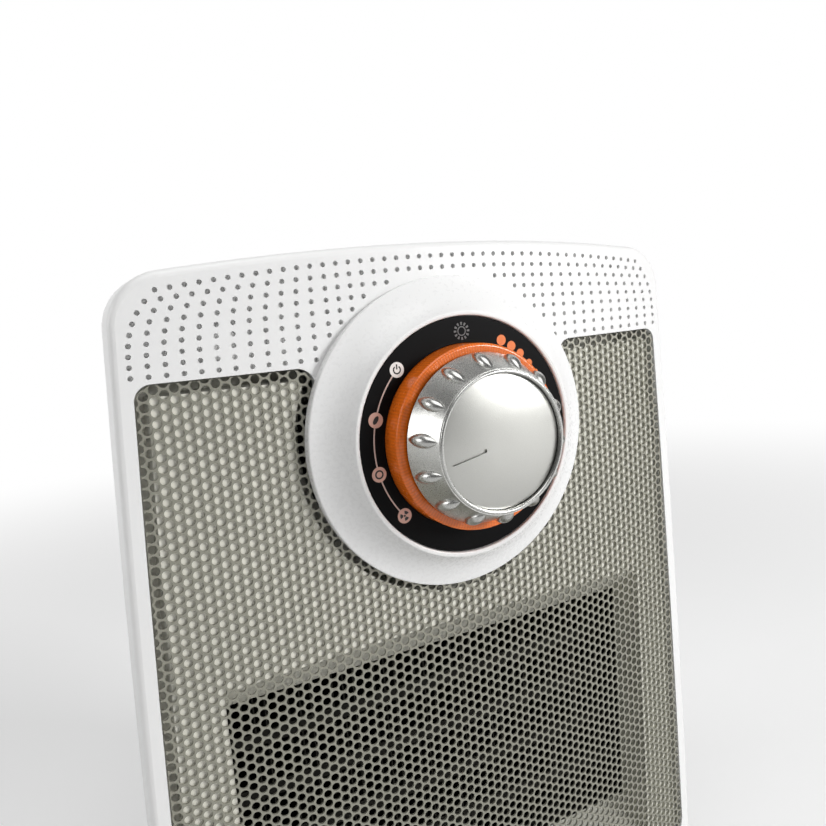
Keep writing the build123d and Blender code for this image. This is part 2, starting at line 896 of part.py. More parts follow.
# Fan duct: from the heating element's rectangle to the round collar of the fan
with BuildPart() as duct_void:
    with BuildSketch(front_plane(neck_front)):
        with Locations((0, window_middle)):
            RectangleRounded(2 * window_half_width, window_top - window_bottom, duct_corner)
    with BuildSketch(front_plane(neck_back)):
        with Locations((0, window_middle)):
            Circle(duct_radius)
    loft()

with BuildPart() as fan_duct:
    with BuildSketch(front_plane(neck_front)):
        with Locations((0, window_middle)):
            neck_width = 2 * (window_half_width + duct_wall)
            neck_height = window_top - window_bottom + 2 * duct_wall
            RectangleRounded(neck_width, neck_height, duct_corner)
    with BuildSketch(front_plane(neck_back)):
        with Locations((0, window_middle)):
            Circle(duct_radius + duct_wall)
    loft()
    with BuildSketch(front_plane(neck_front)):
        with Locations((0, window_middle)):
            RectangleRounded(2 * frame_half_width, frame_height, frame_corner)
    extrude(amount=duct_flange)
    with BuildSketch(front_plane(neck_front)):
        with Locations((0, window_middle)):
            RectangleRounded(2 * window_half_width, window_top - window_bottom, duct_corner)
    extrude(amount=duct_flange, mode=Mode.SUBTRACT)
    add(duct_void.part, mode=Mode.SUBTRACT)
    with BuildSketch(front_plane(duct_back)):
        with Locations((0, window_middle)):
            Circle(duct_radius + duct_wall)
            Circle(duct_radius, mode=Mode.SUBTRACT)
    extrude(amount=duct_back - neck_back)
save(fan_duct, "fan_duct")

# Fan wheel on its shaft
with BuildPart() as blade:
    with BuildSketch(Plane.YZ.offset(blade_root)):
        Rectangle(blade_chord_root, blade_thickness, rotation=blade_pitch_root)
    with BuildSketch(Plane.YZ.offset(fan_radius + blade_thickness)):
        Rectangle(blade_chord_tip, blade_thickness, rotation=blade_pitch_tip)
    loft()

with BuildPart() as fan_wheel:
    with Locations(Location((0, front_y + (fan_start + fan_back) / 2, window_middle))):
        for index in range(blade_count):
            turned = blade.part.rotate(Axis.Y, index * 360 / blade_count)
            add(turned)
    with BuildSketch(front_plane(fan_back)):
        with Locations((0, window_middle)):
            Circle(fan_radius)
    extrude(amount=fan_hub_depth, mode=Mode.INTERSECT)
    with BuildSketch(front_plane(fan_back)):
        with Locations((0, window_middle)):
            Circle(fan_hub_radius)
    extrude(amount=fan_hub_depth)
    with BuildSketch(front_plane(fan_back)):
        with Locations((0, window_middle)):
            Circle(fan_hub_radius - fan_hub_wall)
            Circle(fan_boss_radius, mode=Mode.SUBTRACT)
    extrude(amount=fan_hub_depth - fan_hub_wall, mode=Mode.SUBTRACT)
    with BuildSketch(front_plane(fan_back)):
        with Locations((0, window_middle)):
            Circle(motor_shaft_radius)
    extrude(amount=fan_hub_depth, mode=Mode.SUBTRACT)
save(fan_wheel, "fan_wheel")

with BuildPart() as fan_clip:
    with BuildSketch(front_plane(fan_start)):
        with Locations((0, window_middle)):
            Circle(clip_radius)
            Circle(motor_shaft_radius, mode=Mode.SUBTRACT)
    extrude(amount=clip_thickness)
save(fan_clip, "fan_clip")

with BuildPart() as motor_shaft:
    with BuildSketch(front_plane(motor_shaft_back)):
        with Locations((0, window_middle)):
            Circle(motor_shaft_radius)
    extrude(amount=motor_shaft_back - motor_shaft_front)
save(motor_shaft, "motor_shaft")

# Motor: mount, end brackets, laminated core, coil, rotor and screws
with BuildPart() as motor_mount:
    with BuildSketch(front_plane(mount_back)):
        with Locations((0, window_middle)):
            Circle(mount_ring_outer)
            Circle(mount_ring_inner, mode=Mode.SUBTRACT)
            with PolarLocations(0, 2, start_angle=45, angular_range=180):
                Rectangle(mount_ring_inner + mount_ring_outer, mount_arm)
            Circle(mount_hub_radius)
            Circle(mount_hub_bore, mode=Mode.SUBTRACT)
        with Locations((-motor_screw_x, window_middle), (motor_screw_x, window_middle)):
            Circle(screw_radius, mode=Mode.SUBTRACT)
    extrude(amount=mount_thickness)
save(motor_mount, "motor_mount")


def draw_bracket(hole):
    """Strip of an end bracket across the motor, with holes for the shaft and the screws."""
    with Locations((0, window_middle)):
        RectangleRounded(core_width, end_plate_width, bracket_corner)
        Circle(hole, mode=Mode.SUBTRACT)
    with Locations((-motor_screw_x, window_middle), (motor_screw_x, window_middle)):
        Circle(screw_radius, mode=Mode.SUBTRACT)


def draw_bracket_legs():
    leg_x = (core_width - end_plate_leg) / 2
    with Locations((-leg_x, window_middle), (leg_x, window_middle)):
        Rectangle(end_plate_leg, end_plate_width - 2 * bracket_corner)


running_bore = motor_shaft_radius + motor_shaft_clearance
with BuildPart() as motor_front_bracket:
    with BuildSketch(front_plane(mount_back + end_plate)):
        draw_bracket(running_bore)
    extrude(amount=end_plate)
    with BuildSketch(front_plane(core_front)):
        draw_bracket_legs()
    extrude(amount=core_front - mount_back)
    with BuildSketch(front_plane(mount_back + end_plate)):
        with Locations((0, window_middle)):
            Circle(bearing_radius)
            Circle(running_bore, mode=Mode.SUBTRACT)
    extrude(amount=bearing_length)
save(motor_front_bracket, "motor_front_bracket")

rear_plate_front = core_back + end_gap
with BuildPart() as motor_rear_bracket:
    with BuildSketch(front_plane(rear_plate_front + end_plate)):
        draw_bracket(running_bore)
    extrude(amount=end_plate)
    with BuildSketch(front_plane(rear_plate_front + end_plate)):
        draw_bracket_legs()
    extrude(amount=end_gap + end_plate)
save(motor_rear_bracket, "motor_rear_bracket")

with BuildPart() as motor_core:
    with BuildSketch(front_plane(core_back)):
        with Locations((0, window_middle + core_top)):
            Rectangle(core_width, window_middle + core_top - core_bottom, align=(Align.CENTER, Align.MAX))
        with Locations((0, slot_top)):
            slot_width = coil_width + 2 * coil_side_gap
            Rectangle(slot_width, coil_slot, align=(Align.CENTER, Align.MAX), mode=Mode.SUBTRACT)
        with Locations((0, window_middle)):
            Circle(motor_bore, mode=Mode.SUBTRACT)
        with Locations((-motor_screw_x, window_middle), (motor_screw_x, window_middle)):
            Circle(screw_radius, mode=Mode.SUBTRACT)
    extrude(amount=core_depth)
save(motor_core, "motor_core")

with BuildPart() as motor_coil:
    with Locations((0, front_y + (core_front + core_back) / 2, yoke_top - yoke_height / 2)):
        Box(coil_width, core_depth + 2 * coil_overhang, yoke_height + 2 * coil_overhang)
    fillet(edges().filter_by(Axis.X), coil_round)
    with Locations((0, front_y + (core_front + core_back) / 2, yoke_top - yoke_height / 2)):
        Box(coil_width, core_depth, yoke_height, mode=Mode.SUBTRACT)
save(motor_coil, "motor_coil")

with BuildPart() as motor_rotor:
    with BuildSketch(front_plane(core_back)):
        with Locations((0, window_middle)):
            Circle(rotor_radius)
            Circle(motor_shaft_radius, mode=Mode.SUBTRACT)
    extrude(amount=core_depth)
save(motor_rotor, "motor_rotor")

with BuildPart() as motor_screws:
    motor_screw_seat = rear_plate_front + end_plate
    motor_screw_places = [(-motor_screw_x, window_middle), (motor_screw_x, window_middle)]
    add_screws(motor_screw_places, motor_screw_seat, motor_screw_seat - duct_back - screw_tip)
save(motor_screws, "motor_screws")

# Rear housing: a tapering shell with the intake opening, screw posts and the mains inlet hole
def housing_sections(back, inset, edge_round):
    """Depths and insets of the sections from the panel's rim to the rounded rear edge."""
    steps = [radians(90 * step / rear_round_steps) for step in range(rear_round_steps + 1)]
    rounded = [(back - edge_round * (1 - sin(turn)), inset + edge_round * (1 - cos(turn))) for turn in steps]
    return [(panel_rim_depth, inset)] + rounded


def draw_housing_section(depth, inset):
    """Outline of the tapering housing at a depth, smaller by inset all round."""
    share = (depth - panel_rim_depth) / (body_depth - panel_rim_depth)
    top_radius = top_corner_radius + (rear_top_radius - top_corner_radius) * share
    bottom_radius = bottom_corner_radius + (rear_bottom_radius - bottom_corner_radius) * share
    draw_outline(
        rear_shrink * share + inset,
        rear_drop * share + inset,
        top_radius - inset,
        bottom_radius - inset,
        inset,
    )


with BuildPart() as housing_core:
    for depth, inset in housing_sections(inner_back, housing_wall, rear_round - housing_wall):
        with BuildSketch(front_plane(depth)):
            draw_housing_section(depth, inset)
    loft(ruled=True)


def base_screw_places():
    return [(x, front_y + depth) for x in (-base_screw_x, base_screw_x) for depth in base_screw_depths]


with BuildPart() as rear_housing:
    for depth, inset in housing_sections(body_depth, 0, rear_round):
        with BuildSketch(front_plane(depth)):
            draw_housing_section(depth, inset)
    loft(ruled=True)
    add(housing_core.part, mode=Mode.SUBTRACT)
    with BuildSketch(front_plane(panel_rim_depth + lip_root)):
        draw_inner_outline(housing_wall / 2)
    extrude(amount=lip_root)
    with BuildSketch(front_plane(panel_rim_depth)):
        draw_inner_outline(panel_wall + lip_gap)
    extrude(amount=lip_length)
    with BuildSketch(front_plane(panel_rim_depth + lip_root)):
        draw_inner_outline(panel_wall + lip_gap + lip_wall)
    extrude(amount=lip_root + lip_length, mode=Mode.SUBTRACT)
    with BuildSketch(front_plane(inner_back)):
        with Locations(*post_places()):
            Circle(post_radius)
    extrude(amount=inner_back - panel_rim_depth)
    with BuildSketch(Plane.XY.offset(floor_top)):
        with Locations(*base_screw_places()):
            Circle(base_boss_radius)
    extrude(amount=floor_boss_height)
    with BuildSketch(front_plane(body_depth)):
        with Locations(*post_places()):
            Circle(screw_head_radius + head_clearance)
    extrude(amount=body_depth - screw_seat, mode=Mode.SUBTRACT)
    with BuildSketch(front_plane(body_depth)):
        with Locations(*post_places()):
            Circle(screw_radius)
        with Locations((gland_x, gland_height)):
            Circle(gland_radius)
        with Locations((0, intake_middle)):
            RectangleRounded(2 * intake_half_width, intake_height, intake_corner)
    extrude(amount=body_depth - panel_rim_depth, mode=Mode.SUBTRACT)
    with BuildSketch(Plane.XY.offset(body_bottom)):
        with Locations((0, front_y + plunger_depth)):
            Circle(plunger_radius + plunger_clearance)
        with Locations(*base_screw_places()):
            Circle(screw_radius)
    extrude(amount=housing_wall + floor_boss_height, mode=Mode.SUBTRACT)
save(rear_housing, "rear_housing")

with BuildPart() as housing_screws:
    add_screws(post_places(), screw_seat, screw_seat - panel_rim_depth + screw_bite - screw_tip)
save(housing_screws, "housing_screws")

# Rear grille and the dust filter in front of it
grille_back = body_depth + grille_plate
with BuildPart() as rear_grille:
    with BuildSketch(front_plane(grille_back)):
        with Locations((0, intake_middle)):
            outer_width = 2 * (intake_half_width + grille_flange)
            RectangleRounded(outer_width, intake_height + 2 * grille_flange, intake_corner + grille_flange)
    extrude(amount=grille_plate)
    with BuildSketch(front_plane(body_depth)):
        with Locations((0, intake_middle)):
            plug_width = 2 * (intake_half_width - grille_clearance)
            plug_height = intake_height - 2 * grille_clearance
            RectangleRounded(plug_width, plug_height, intake_corner - grille_clearance)
    extrude(amount=housing_wall)
    with BuildSketch(front_plane(grille_back)):
        slat_count = round((plug_height - slat_height) / slat_pitch)
        slot_height = (plug_height - grille_border * 2 - (slat_count - 1) * slat_height) / slat_count
        slot_width = (plug_width - grille_border * 2 - (rib_count - 1) * rib_width) / rib_count
        with Locations((0, intake_middle)):
            with GridLocations(slot_width + rib_width, slot_height + slat_height, rib_count, slat_count):
                Rectangle(slot_width, slot_height)
    extrude(amount=grille_plate + housing_wall, mode=Mode.SUBTRACT)
save(rear_grille, "rear_grille")

with BuildPart() as dust_filter:
    with BuildSketch(front_plane(inner_back)):
        with Locations((0, intake_middle)):
            filter_width = 2 * (intake_half_width + filter_margin)
            filter_height = intake_height + 2 * filter_margin
            RectangleRounded(filter_width, filter_height, intake_corner)
            Rectangle(filter_width - 2 * filter_rail, filter_height - 2 * filter_rail, mode=Mode.SUBTRACT)
    extrude(amount=filter_depth)
    with BuildSketch(front_plane(inner_back - filter_depth / 2)):
        with Locations((0, intake_middle)):
            Rectangle(filter_width - 2 * filter_rail, filter_height - 2 * filter_rail)
    extrude(amount=filter_cloth)
save(dust_filter, "dust_filter")


def draw_base(shrink):
    """Plan of the base: narrower at the rear, with wide round corners, smaller by shrink all round."""
    front = front_y + base_front_depth + shrink
    rear = front_y + base_rear_depth - shrink
    with BuildLine() as edge:
        Polyline(
            (-(base_front_half_width - shrink), front),
            (base_front_half_width - shrink, front),
            (base_rear_half_width - shrink, rear),
            (-(base_rear_half_width - shrink), rear),
            close=True,
        )
    make_face(edge.edges())
    fillet(vertices(), base_corner - shrink)


def foot_places():
    front = [(x, front_y + foot_front_depth) for x in (-foot_front_x, foot_front_x)]
    rear = [(x, front_y + foot_rear_depth) for x in (-foot_rear_x, foot_rear_x)]
    return front + rear


# Base, its screws and the rubber feet
base_thickness = body_bottom - base_bottom
with BuildPart() as base:
    with BuildSketch(Plane.XY.offset(base_bottom)):
        draw_base(0)
    extrude(amount=base_thickness)
    with BuildSketch(Plane.XY.offset(base_bottom + base_wall)):
        draw_base(base_wall)
        with Locations(*base_screw_places()):
            Circle(base_boss_radius, mode=Mode.SUBTRACT)
        with Locations((0, front_y + plunger_depth)):
            Circle(plunger_radius + plunger_clearance + plunger_guide_wall, mode=Mode.SUBTRACT)
    extrude(amount=base_thickness, mode=Mode.SUBTRACT)
    with BuildSketch(Plane.XY.offset(base_bottom)):
        with Locations(*base_screw_places()):
            Circle(screw_head_radius + head_clearance)
    extrude(amount=base_screw_seat, mode=Mode.SUBTRACT)
    with BuildSketch(Plane.XY.offset(base_bottom)):
        with Locations(*base_screw_places()):
            Circle(screw_radius)
        with Locations((0, front_y + plunger_depth)):
            Circle(plunger_radius + plunger_clearance)
    extrude(amount=base_thickness, mode=Mode.SUBTRACT)
    with BuildSketch(Plane.XY.offset(base_bottom)):
        with Locations(*foot_places()):
            Circle(foot_radius)
    extrude(amount=foot_recess, mode=Mode.SUBTRACT)
save(base, "base")

with BuildPart() as base_screws:
    with BuildSketch(Plane.XY.offset(base_bottom + base_screw_seat)):
        with Locations(*base_screw_places()):
            Circle(screw_head_radius)
    extrude(amount=-screw_head)
    with BuildSketch(Plane.XY.offset(base_bottom + base_screw_seat)):
        with Locations(*base_screw_places()):
            Circle(screw_radius)
    extrude(amount=base_screw_length)
save(base_screws, "base_screws")

with BuildPart() as rubber_feet:
    with BuildSketch(Plane.XY):
        with Locations(*foot_places()):
            Circle(foot_radius - foot_clearance)
    extrude(amount=foot_height)
    fillet(edges().filter_by(GeomType.CIRCLE).group_by(Axis.Z)[0], foot_round)
save(rubber_feet, "rubber_feet")

# Tip-over switch on the floor of the housing, with the plunger that reaches through the base
with BuildPart() as tip_switch_body:
    with BuildSketch(Plane.XY.offset(floor_top)):
        with Locations((0, front_y + plunger_depth)):
            RectangleRounded(tip_switch_width, tip_switch_length, tip_switch_corner)
    extrude(amount=tip_switch_height)
    with BuildSketch(Plane.XY.offset(floor_top)):
        with Locations((0, front_y + plunger_depth)):
            Circle(plunger_collar + plunger_clearance)
    extrude(amount=tip_switch_height - tip_switch_wall, mode=Mode.SUBTRACT)
save(tip_switch_body, "tip_switch_body")

with BuildPart() as tip_switch_plunger:
    with BuildSketch(Plane.XY):
        with Locations((0, front_y + plunger_depth)):
            Circle(plunger_radius)
    extrude(amount=plunger_top)
    fillet(faces().sort_by(Axis.Z)[0].edges(), plunger_round)
    with BuildSketch(Plane.XY.offset(plunger_collar_bottom)):
        with Locations((0, front_y + plunger_depth)):
            Circle(plunger_collar)
    extrude(amount=plunger_collar_height)
save(tip_switch_plunger, "tip_switch_plunger")

# Mains inlet gland and terminal block
with BuildPart() as cord_gland:
    with BuildSketch(front_plane(body_depth)):
        with Locations((gland_x, gland_height)):
            Circle(gland_radius)
    extrude(amount=gland_length)
    with BuildSketch(front_plane(body_depth + gland_rim)):
        with Locations((gland_x, gland_height)):
            Circle(gland_flange)
    extrude(amount=gland_rim)
    fillet(faces().sort_by(Axis.Y)[-1].edges(), gland_round)
    with BuildSketch(front_plane(body_depth + gland_rim)):
        with Locations((gland_x, gland_height)):
            Circle(gland_bore)
    extrude(amount=gland_length + gland_rim, mode=Mode.SUBTRACT)
save(cord_gland, "cord_gland")

with BuildPart() as terminal_block:
    with BuildSketch(Plane.XY.offset(floor_top)):
        with Locations((terminal_block_x, front_y + terminal_block_depth)):
            RectangleRounded(terminal_block_width, terminal_block_length, terminal_block_corner)
    extrude(amount=terminal_block_height)
    with BuildSketch(Plane.XY.offset(floor_top + terminal_block_height)):
        with Locations((terminal_block_x, front_y + terminal_block_depth)):
            with GridLocations(terminal_hole_pitch, 1, 3, 1):
                Circle(terminal_hole_radius)
    extrude(amount=-terminal_hole_depth, mode=Mode.SUBTRACT)
save(terminal_block, "terminal_block")

print(len(exported), "pieces:", ", ".join(exported))
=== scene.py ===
"""Compact fan heater with a perforated front and a round dial: its looks, in metres.

The frame is the model's own: +Z is up, the front with the dial faces -Y, and the floor is Z = 0.
Depths are counted backwards from the front panel's face at its middle.
"""
import json
from math import cos, degrees, hypot, pi, radians, sin, sqrt

import bmesh
import bpy
from mathutils import Matrix, Vector


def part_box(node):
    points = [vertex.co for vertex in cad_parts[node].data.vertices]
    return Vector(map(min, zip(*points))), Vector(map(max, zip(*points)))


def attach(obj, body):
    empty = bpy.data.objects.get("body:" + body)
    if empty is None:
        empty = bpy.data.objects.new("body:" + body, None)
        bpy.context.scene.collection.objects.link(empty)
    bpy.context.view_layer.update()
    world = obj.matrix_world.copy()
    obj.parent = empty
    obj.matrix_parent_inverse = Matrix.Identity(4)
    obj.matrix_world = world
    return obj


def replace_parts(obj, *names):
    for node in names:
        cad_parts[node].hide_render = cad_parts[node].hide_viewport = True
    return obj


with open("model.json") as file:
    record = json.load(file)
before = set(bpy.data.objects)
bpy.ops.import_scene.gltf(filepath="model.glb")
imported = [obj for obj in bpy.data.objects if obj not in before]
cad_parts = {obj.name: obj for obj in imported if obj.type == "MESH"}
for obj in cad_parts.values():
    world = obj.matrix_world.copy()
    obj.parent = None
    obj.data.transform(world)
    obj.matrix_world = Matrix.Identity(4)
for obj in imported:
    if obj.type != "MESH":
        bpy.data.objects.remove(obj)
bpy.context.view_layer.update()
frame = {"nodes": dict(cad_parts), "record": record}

MM = 0.001

# The photograph's camera, fitted to the dial's rings and the mesh
image_size = 826
focal_pixels = 746.7
camera_before_face = 195.4 * MM
camera_x = -110.8 * MM
camera_z = 252.5 * MM
camera_forward = Vector((0.4413, 0.8871, -0.1355))
camera_down = Vector((-0.1348, -0.0837, -0.9873))
camera_near = 10 * MM
sensor_width = 36.0

# Front face and dial
face_radius = 550 * MM
face_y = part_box("front_panel")[0].y
dial_low, dial_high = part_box("dial_disc")
dial_z = (dial_low.z + dial_high.z) / 2
dial_y = dial_low.y

# Printed marks: angles are degrees clockwise from the top, sweeps too
full_turn = 360
mark_radius = 30.5 * MM
mark_lift = 0.04 * MM
symbol_lift = 0.07 * MM
mark_sink = 0.02 * MM
mark_clocks = (229, 257, 286, 315)
spot_radius = 2.2 * MM
line_width = 0.4 * MM
fan_hub_radius = 0.34 * MM
fan_blade_inner = 0.55 * MM
fan_blade_outer = 1.45 * MM
fan_blade_sweep = 62
stop_inner = 0.85 * MM
stop_outer = 1.3 * MM
leaf_half_length = 1.3 * MM
leaf_slimness = 0.5
leaf_lean = 35
power_inner = 0.85 * MM
power_outer = 1.25 * MM
power_gap = 70
power_bar_rise = 0.85 * MM
power_bar_half_width = 0.2 * MM
power_bar_half_height = 0.7 * MM
sun_clock = 0.3
sun_rays = 12
sun_ray_inner = 1.75 * MM
sun_ray_outer = 2.6 * MM
sun_ray_sweep = 14
sun_ring_inner = 1.1 * MM
sun_ring_outer = 1.4 * MM
dot_ring = 29.9 * MM
heat_dots = [(27.0, 1.6 * MM), (34.7, 1.5 * MM), (42.2, 1.3 * MM), (50.6, 1.1 * MM), (57.9, 0.9 * MM)]

# Ribs round the orange light ring
rib_count = 180

# Floor and backdrop: near the heater the floor keeps its shadow, further out it fades to white
floor_half_width = 3.0
floor_tone = 0.80
floor_glow = 0.22
fade_start = 0.35
fade_end = 1.3
floor_behind = 0.5
world_level = 0.16
backdrop_start = 0.3
backdrop_end = 0.8

# Softboxes: place, size and power
softboxes = {
    "key": ((1.12, -1.3, 0.68), 0.6, 23.5),
    "side": ((-1.6, 0.45, 0.7), 0.8, 8.0),
    "top": ((-0.3, -0.5, 1.9), 1.4, 15.0),
}

# Mesh sheet
hole_pitch = 3.0 * MM
column_pitch = hole_pitch * sqrt(3) / 2
hole_radius = 1.25 * MM
hole_sides = 12
sheet_thickness = 0.6 * MM
sheet_recess = 0.3 * MM
lattice_x = -97.492 * MM
lattice_z = 239.24 * MM
lattice_rows = 70
lattice_column_pairs = 38
sheet_top = 238.9 * MM
sheet_bottom = 34.4 * MM
sheet_dial_radius = 46.4 * MM
sheet_side_points = [(101.5 * MM, 12 * MM), (97.9 * MM, 159 * MM), (92.6 * MM, 267 * MM)]
sheet_side_inset = 5.4 * MM
sheet_outer_corner = 4.1 * MM
sheet_inner_corner = 4.6 * MM
sheet_low_corner = 8.6 * MM
joined_within = 0.02 * MM
thinnest_edge = 0.01 * MM
slope_step = 0.01 * MM
least_steepness = 0.1
drawing_rounds = 3


# Shader expressions
class Signal:
    """A value that varies over a surface. Arithmetic on it adds Math nodes."""

    def __init__(self, finish, socket):
        self.finish = finish
        self.socket = socket

    def math(self, operation, *values):
        return self.finish.node("ShaderNodeMath", {"operation": operation}, dict(enumerate(values)))

    def __add__(self, other):
        return self.math("ADD", self, other)

    def __sub__(self, other):
        return self.math("SUBTRACT", self, other)

    def __rsub__(self, other):
        return self.math("SUBTRACT", other, self)

    def __mul__(self, other):
        return self.math("MULTIPLY", self, other)

    __radd__ = __add__
    __rmul__ = __mul__


class Finish:
    """The nodes of one material, or of the world."""

    def __init__(self, name, kind=bpy.data.materials):
        self.material = kind.new(name)
        self.material.use_nodes = True
        self.tree = self.material.node_tree
        self.shader = self.tree.nodes.get("Principled BSDF")

    def node(self, kind, settings=None, inputs=None, output=0):
        """Any node: its settings are set first, then the values or links of its sockets."""
        made = self.tree.nodes.new(kind)
        for name, value in (settings or {}).items():
            setattr(made, name, value)
        for name, value in (inputs or {}).items():
            self.feed(made.inputs[name], value)
        return Signal(self, made.outputs[output])

    def feed(self, socket, value):
        if isinstance(value, Signal):
            self.tree.links.new(value.socket, socket)
        else:
            socket.default_value = value

    def place(self, scale=(1, 1, 1), centre=(0, 0, 0)):
        """Object coordinates, centred on a point and scaled."""
        coordinates = self.node("ShaderNodeTexCoord", output="Object")
        location = [-c * s for c, s in zip(centre, scale)]
        inputs = {"Vector": coordinates, "Location": location, "Scale": scale}
        return self.node("ShaderNodeMapping", None, inputs)

    def noise(self, scale, detail=2.0, roughness=0.5, place=None):
        inputs = {"Vector": place or self.place(), "Scale": scale, "Detail": detail, "Roughness": roughness}
        return self.node("ShaderNodeTexNoise", None, inputs)

    def bands(self, direction, scale, distortion=0.3):
        settings = {"wave_type": "BANDS", "bands_direction": direction}
        inputs = {"Vector": self.place(), "Scale": scale, "Distortion": distortion}
        return self.node("ShaderNodeTexWave", settings, inputs, "Fac")

    def along(self, letter, place):
        """One coordinate of a place."""
        return self.node("ShaderNodeSeparateXYZ", None, {0: place}, letter)

    def fade(self, value, start, end):
        """0 up to the start and 1 past the end, smooth between."""
        inputs = {"Value": value, "From Min": start, "From Max": end}
        return self.node("ShaderNodeMapRange", {"interpolation_type": "SMOOTHSTEP"}, inputs)

    def mix(self, share, first, second):
        """A colour between two. The node's colour sockets share their names, so they go by number."""
        return self.node("ShaderNodeMix", {"data_type": "RGBA"}, {0: share, 6: first, 7: second}, 2)

    def bump(self, height, distance, strength):
        inputs = {"Height": height, "Distance": distance, "Strength": strength}
        self.feed(self.shader.inputs["Normal"], self.node("ShaderNodeBump", None, inputs))

    def seen_as(self, lit, seen, share):
        """Shows one shader to the eye, and by a share to reflections, and another one to the light."""
        eye = self.node("ShaderNodeLightPath", output="Is Camera Ray")
        mirrored = self.node("ShaderNodeLightPath", output="Is Glossy Ray")
        through = self.node("ShaderNodeLightPath", output="Is Transmission Ray")
        looking = eye.math("MAXIMUM", eye, mirrored.math("MAXIMUM", mirrored, through) * share)
        shown = self.node("ShaderNodeMixShader", None, {0: looking, 1: lit, 2: seen})
        output = next(node for node in self.tree.nodes if node.bl_idname.startswith("ShaderNodeOutput"))
        self.feed(output.inputs["Surface"], shown)

    def surface(self, **sockets):
        """Sets the shader's sockets, by name with underscores for spaces."""
        for name, value in sockets.items():
            self.feed(self.shader.inputs[name.replace("_", " ")], value)


def color(red, green, blue):
    return (red, green, blue, 1.0)


def scaled(tone, factor):
    return tuple(min(1.0, part * factor) for part in tone[:3]) + (1.0,)


# Finishes
def moulded_plastic(name, tone, gloss, grain=0.02 * MM, grain_scale=900.0, shine=0.5):
    """Injection-moulded plastic: a faint skin texture, cloudy gloss and a breath of colour change."""
    finish = Finish(name)
    clouds = finish.noise(14.0, 3.0)
    skin = finish.noise(grain_scale, 3.0, 0.6)
    finish.surface(
        Base_Color=finish.mix(clouds, scaled(tone, 0.985), scaled(tone, 1.012)),
        Roughness=gloss + (clouds - 0.5) * 0.06 + (skin - 0.5) * 0.08,
        IOR=1.48,
        Specular_IOR_Level=shine,
    )
    if grain:
        finish.bump(skin, grain, 0.35)
    return finish.material


def bright_metal(name, tone, roughness, grain_scale=2500.0, grain=0.01 * MM, streak=(1, 1, 1)):
    """Bare or plated metal with a fine grain, drawn out along one way where streak says so."""
    finish = Finish(name)
    place = finish.place(streak)
    fine = finish.noise(grain_scale, 2.0, 0.6, place)
    broad = finish.noise(60.0, 2.0, 0.5, place)
    finish.surface(
        Base_Color=finish.mix(fine, scaled(tone, 0.92), scaled(tone, 1.06)),
        Metallic=1.0,
        Roughness=roughness + (fine - 0.5) * 0.14 + (broad - 0.5) * 0.05,
    )
    finish.bump(fine, grain, 0.5)
    return finish.material


def laminated_steel(name):
    """Edges of stacked sheets, dark lines about a millimetre apart along the depth."""
    finish = Finish(name)
    layers = finish.bands("Y", 320.0, 0.4)
    stain = finish.noise(90.0, 3.0)
    finish.surface(
        Base_Color=finish.mix(layers * 0.7 + stain * 0.3, color(0.10, 0.10, 0.105), color(0.42, 0.42, 0.43)),
        Metallic=1.0,
        Roughness=0.38 + stain * 0.2,
    )
    finish.bump(layers, 0.05 * MM, 0.5)
    return finish.material


def wound_tape(name):
    """Amber tape in overlapping turns across the winding."""
    finish = Finish(name)
    turns = finish.bands("X", 26.0)
    finish.surface(
        Base_Color=finish.mix(turns, color(0.55, 0.36, 0.05), color(0.80, 0.60, 0.16)),
        Roughness=0.22 + turns * 0.15,
        Coat_Weight=0.3,
    )
    finish.bump(turns, 0.08 * MM, 0.6)
    return finish.material


def filter_cloth(name):
    """Open grey weave of the dust filter."""
    finish = Finish(name)
    weft = finish.bands("X", 300.0, 0.6)
    warp = finish.bands("Z", 300.0, 0.6)
    threads = weft.math("MAXIMUM", weft, warp)
    finish.surface(
        Base_Color=finish.mix(threads, color(0.03, 0.03, 0.03), color(0.30, 0.30, 0.29)),
        Roughness=0.85 + (threads - 0.5) * 0.1,
    )
    finish.bump(threads, 0.15 * MM, 0.8)
    return finish.material


def moulded_rubber(name, tone):
    """Matt rubber with dust in its skin."""
    finish = Finish(name)
    dust = finish.noise(240.0, 4.0, 0.65)
    finish.surface(
        Base_Color=finish.mix(dust, scaled(tone, 0.85), scaled(tone, 1.3)),
        Roughness=0.62 + (dust - 0.5) * 0.2,
    )
    finish.bump(dust, 0.05 * MM, 0.4)
    return finish.material


def sheet_paint(name, tone):
    """Warm grey satin paint on the perforated sheet."""
    finish = Finish(name)
    fleck = finish.noise(1400.0, 3.0, 0.7)
    wash = finish.noise(30.0, 2.0)
    finish.surface(
        Base_Color=finish.mix(fleck * 0.6 + wash * 0.4, scaled(tone, 0.86), scaled(tone, 1.14)),
        Metallic=0.35,
        Roughness=0.40 + (fleck - 0.5) * 0.2,
    )
    finish.bump(fleck, 0.015 * MM, 0.5)
    return finish.material


def ribbed_plastic(name, tone):
    """Orange light guide: glossy, with fine ribs round its wall and painted shade in the rib troughs."""
    finish = Finish(name)
    place = finish.place(centre=(0, 0, dial_z))
    across = finish.along("X", place)
    angle = across.math("ARCTAN2", across, finish.along("Z", place))
    ribs = angle.math("SINE", angle * rib_count) * 0.5 + 0.5
    cells = finish.noise(500.0)
    # Base colour follows the rib height: painted shade in the rib troughs, mixed with random tone from the
    # cells noise
    rib_shade_and_tone = ribs * 0.75 + cells * 0.25
    finish.surface(
        Base_Color=finish.mix(rib_shade_and_tone, scaled(tone, 0.86), scaled(tone, 1.08)),
        Roughness=0.26 + (cells - 0.5) * 0.1,
        Coat_Weight=0.25,
        Coat_Roughness=0.1,
    )
    finish.bump(ribs, 0.06 * MM, 0.4)
    return finish.material


